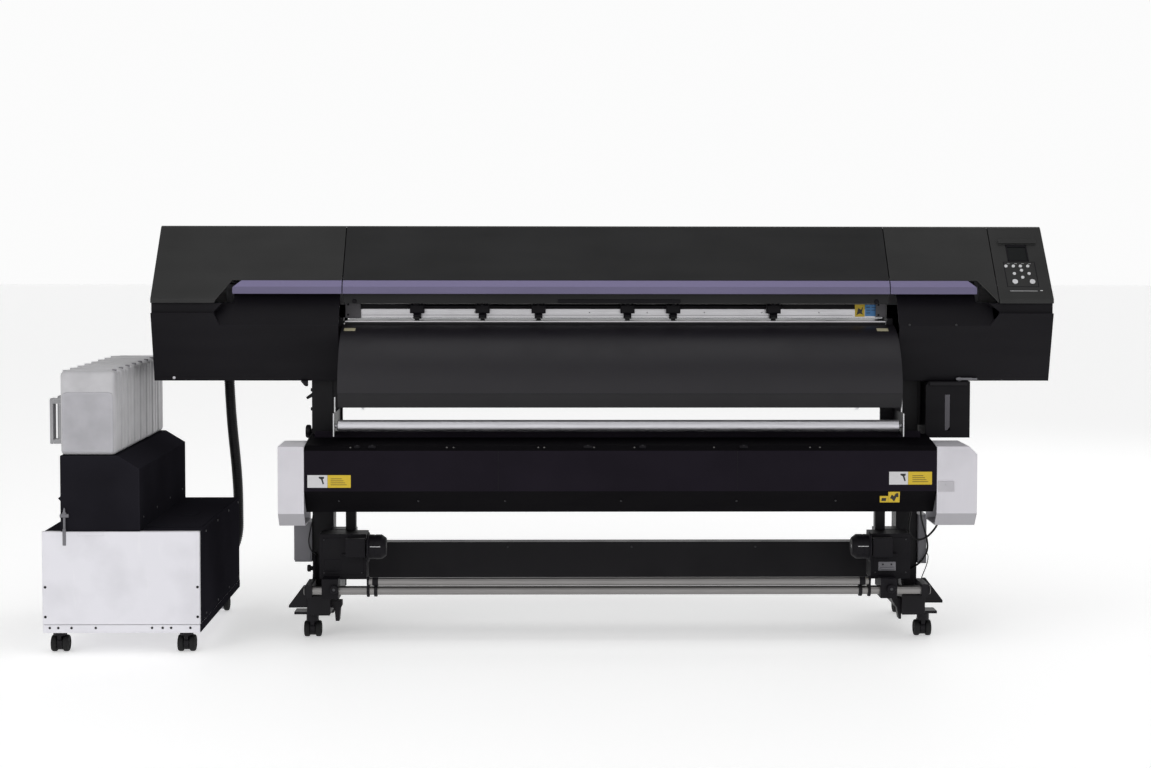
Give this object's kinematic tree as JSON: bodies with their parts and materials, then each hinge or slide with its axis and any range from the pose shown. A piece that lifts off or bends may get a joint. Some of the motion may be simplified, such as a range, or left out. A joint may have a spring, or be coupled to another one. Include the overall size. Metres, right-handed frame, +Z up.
{
  "type": "wide-format roll printer cutter",
  "caption": "Wide-format roll printer and vinyl cutter on a wheeled stand, with hinged cover, curved heater apron, dryer, take-up and ink trolley.",
  "frame": {"origin": "on the floor, under the middle of the whole machine with its ink trolley", "axes": "+X to the machine's right as the user faces it, +Y from the user to the back, +Z up"},
  "size_m": [3.062, 0.859, 1.273],
  "materials": {
    "charcoal_cover": "fine moulded texture, satin",
    "black_cover": "fine moulded texture",
    "lavender_trim": "metallic painted, satin",
    "black_steel": "powder coat",
    "satin_aluminium": "satin anodised",
    "bright_steel": "polished",
    "white_cover": "off-white powder coat",
    "grey_box": "light grey",
    "tank_plastic": "translucent grey",
    "caster_tyre": "hard tread",
    "roller_rubber": "matte",
    "key_plastic": "light grey",
    "display_glass": "dark glossy",
    "cable_rubber": "matte sheath",
    "hose_plastic": "corrugated"
  },
  "bodies": {
    "root": {"left_upper_cover": "charcoal_cover", "right_upper_cover": "charcoal_cover", "control_panel": "charcoal_cover", "left_lower_cover": "black_cover", "right_lower_cover": "black_cover", "rear_cover": "black_cover", "dryer_housing": "black_cover", "trolley_body_cover": "black_cover", "tank_pedestal": "black_cover", "waste_ink_tank": "black_cover", "side_accent_trims": "lavender_trim", "head_frame": "black_steel", "stand_legs": "black_steel", "stand_beam": "black_steel", "apron_heater": "black_steel", "platen": "satin_aluminium", "y_rail": "satin_aluminium", "takeup_guide_bar": "bright_steel", "rear_feed_bar": "bright_steel", "dryer_end_covers": "white_cover", "trolley_front_panel": "white_cover", "trolley_base": "white_cover", "power_boxes": "grey_box", "ink_tanks": "tank_plastic", "lcd_screen": "display_glass", "dryer_cable_thick": "cable_rubber", "dryer_cable_second": "cable_rubber", "dryer_cable_thin": "cable_rubber", "dryer_cable_left": "cable_rubber", "ink_hose": "hose_plastic"},
    "front_cover": {"front_cover": "charcoal_cover", "front_accent_trim": "lavender_trim"},
    "print_carriage": {"print_carriage": "grey_box"},
    "cutter_carriage": {"cutter_carriage": "grey_box"},
    "pinch_arms": {"pinch_arms": "black_cover"},
    "pinch_rollers": {"pinch_rollers": "roller_rubber"},
    "grit_shaft": {"grit_shaft": "bright_steel"},
    "guide_pipe": {"guide_pipe": "satin_aluminium"},
    "takeup_drive_unit": {"takeup_drive_unit": "black_cover"},
    "takeup_idle_unit": {"takeup_idle_unit": "black_cover"},
    "takeup_left_flange": {"takeup_left_flange": "black_cover"},
    "takeup_right_flange": {"takeup_right_flange": "black_cover"},
    "tension_bar": {"tension_bar": "bright_steel"},
    "stand_left_caster": {"stand_left_caster": "black_steel"},
    "stand_left_wheels": {"stand_left_wheels": "caster_tyre"},
    "stand_right_caster": {"stand_right_caster": "black_steel"},
    "stand_right_wheels": {"stand_right_wheels": "caster_tyre"},
    "trolley_left_caster": {"trolley_left_caster": "black_steel"},
    "trolley_left_wheels": {"trolley_left_wheels": "caster_tyre"},
    "trolley_right_caster": {"trolley_right_caster": "black_steel"},
    "trolley_right_wheels": {"trolley_right_wheels": "caster_tyre"},
    "stand_rear_wheels": {"stand_rear_wheels": "caster_tyre"},
    "trolley_rear_wheels": {"trolley_rear_wheels": "caster_tyre"},
    "function_key_1": {"function_key_1": "key_plastic"},
    "function_key_2": {"function_key_2": "key_plastic"},
    "function_key_3": {"function_key_3": "key_plastic"},
    "function_key_4": {"function_key_4": "key_plastic"},
    "enter_key": {"enter_key": "key_plastic"},
    "power_key": {"power_key": "key_plastic"},
    "jog_keys": {"jog_keys": "key_plastic"}
  },
  "joints": [
    {"name": "front_cover_hinge", "type": "hinge", "parent": "root", "child": "front_cover", "pos_m": [0.1845, 0.1185, 1.266], "axis": [-1, 0, 0], "range_deg": [0, 60]},
    {"name": "print_carriage_slide", "type": "slide", "parent": "root", "child": "print_carriage", "axis": [1, 0, 0], "range_m": [-1.85, 0]},
    {"name": "cutter_carriage_slide", "type": "slide", "parent": "root", "child": "cutter_carriage", "axis": [1, 0, 0], "range_m": [0, 1.9]},
    {"name": "pinch_lift", "type": "slide", "parent": "root", "child": "pinch_arms", "axis": [0, 0, 1], "range_m": [0, 0.004]},
    {"name": "grit_spin", "type": "hinge", "parent": "root", "child": "grit_shaft", "pos_m": [0.184, -0.0995, 0.968], "axis": [1, 0, 0], "continuous": true},
    {"name": "pinch_spin", "type": "hinge", "parent": "pinch_arms", "child": "pinch_rollers", "pos_m": [0.121, -0.0995, 0.9884], "axis": [1, 0, 0], "continuous": true},
    {"name": "guide_pipe_spin", "type": "hinge", "parent": "root", "child": "guide_pipe", "pos_m": [0.1885, -0.2745, 0.665], "axis": [1, 0, 0], "continuous": true},
    {"name": "takeup_drive_slide", "type": "slide", "parent": "root", "child": "takeup_drive_unit", "axis": [-1, 0, 0], "range_m": [0, 0.02]},
    {"name": "takeup_idle_slide", "type": "slide", "parent": "root", "child": "takeup_idle_unit", "axis": [1, 0, 0], "range_m": [0, 0.04]},
    {"name": "left_flange_spin", "type": "hinge", "parent": "takeup_drive_unit", "child": "takeup_left_flange", "pos_m": [-0.553, -0.2645, 0.293], "axis": [1, 0, 0], "continuous": true},
    {"name": "right_flange_spin", "type": "hinge", "parent": "takeup_idle_unit", "child": "takeup_right_flange", "pos_m": [0.935, -0.2645, 0.293], "axis": [1, 0, 0], "continuous": true},
    {"name": "tension_swing", "type": "hinge", "parent": "root", "child": "tension_bar", "pos_m": [0.19, -0.2845, 0.162], "axis": [-1, 0, 0], "range_deg": [0, 100]},
    {"name": "stand_left_swivel", "type": "hinge", "parent": "root", "child": "stand_left_caster", "pos_m": [-0.756, -0.1925, 0.06], "axis": [0, 0, 1], "continuous": true},
    {"name": "stand_left_roll", "type": "hinge", "parent": "stand_left_caster", "child": "stand_left_wheels", "pos_m": [-0.756, -0.1785, 0.025], "axis": [1, 0, 0], "continuous": true},
    {"name": "stand_right_swivel", "type": "hinge", "parent": "root", "child": "stand_right_caster", "pos_m": [1.139, -0.1925, 0.06], "axis": [0, 0, 1], "continuous": true},
    {"name": "stand_right_roll", "type": "hinge", "parent": "stand_right_caster", "child": "stand_right_wheels", "pos_m": [1.139, -0.1785, 0.025], "axis": [1, 0, 0], "continuous": true},
    {"name": "trolley_left_swivel", "type": "hinge", "parent": "root", "child": "trolley_left_caster", "pos_m": [-1.485, -0.4085, 0.058], "axis": [0, 0, 1], "continuous": true},
    {"name": "trolley_left_roll", "type": "hinge", "parent": "trolley_left_caster", "child": "trolley_left_wheels", "pos_m": [-1.485, -0.3945, 0.025], "axis": [1, 0, 0], "continuous": true},
    {"name": "trolley_right_swivel", "type": "hinge", "parent": "root", "child": "trolley_right_caster", "pos_m": [-1.108, -0.4085, 0.058], "axis": [0, 0, 1], "continuous": true},
    {"name": "trolley_right_roll", "type": "hinge", "parent": "trolley_right_caster", "child": "trolley_right_wheels", "pos_m": [-1.108, -0.3945, 0.025], "axis": [1, 0, 0], "continuous": true},
    {"name": "stand_rear_roll", "type": "hinge", "parent": "root", "child": "stand_rear_wheels", "pos_m": [0.1915, 0.2055, 0.025], "axis": [1, 0, 0], "continuous": true},
    {"name": "trolley_rear_roll", "type": "hinge", "parent": "root", "child": "trolley_rear_wheels", "pos_m": [-1.2965, 0.2525, 0.025], "axis": [1, 0, 0], "continuous": true},
    {"name": "function_key_1_press", "type": "slide", "parent": "root", "child": "function_key_1", "axis": [0, 0.7593, -0.6508], "range_m": [0, 0.0015], "stiffness_N_per_m": 400},
    {"name": "function_key_2_press", "type": "slide", "parent": "root", "child": "function_key_2", "axis": [0, 0.7593, -0.6508], "range_m": [0, 0.0015], "stiffness_N_per_m": 400},
    {"name": "function_key_3_press", "type": "slide", "parent": "root", "child": "function_key_3", "axis": [0, 0.7593, -0.6508], "range_m": [0, 0.0015], "stiffness_N_per_m": 400},
    {"name": "function_key_4_press", "type": "slide", "parent": "root", "child": "function_key_4", "axis": [0, 0.7593, -0.6508], "range_m": [0, 0.0015], "stiffness_N_per_m": 400},
    {"name": "enter_key_press", "type": "slide", "parent": "root", "child": "enter_key", "axis": [0, 0.7593, -0.6508], "range_m": [0, 0.0015], "stiffness_N_per_m": 400},
    {"name": "power_key_press", "type": "slide", "parent": "root", "child": "power_key", "axis": [0, 0.7593, -0.6508], "range_m": [0, 0.0015], "stiffness_N_per_m": 400},
    {"name": "jog_keys_press", "type": "slide", "parent": "root", "child": "jog_keys", "axis": [0, 0.7593, -0.6508], "range_m": [0, 0.0015], "stiffness_N_per_m": 400}
  ]
}
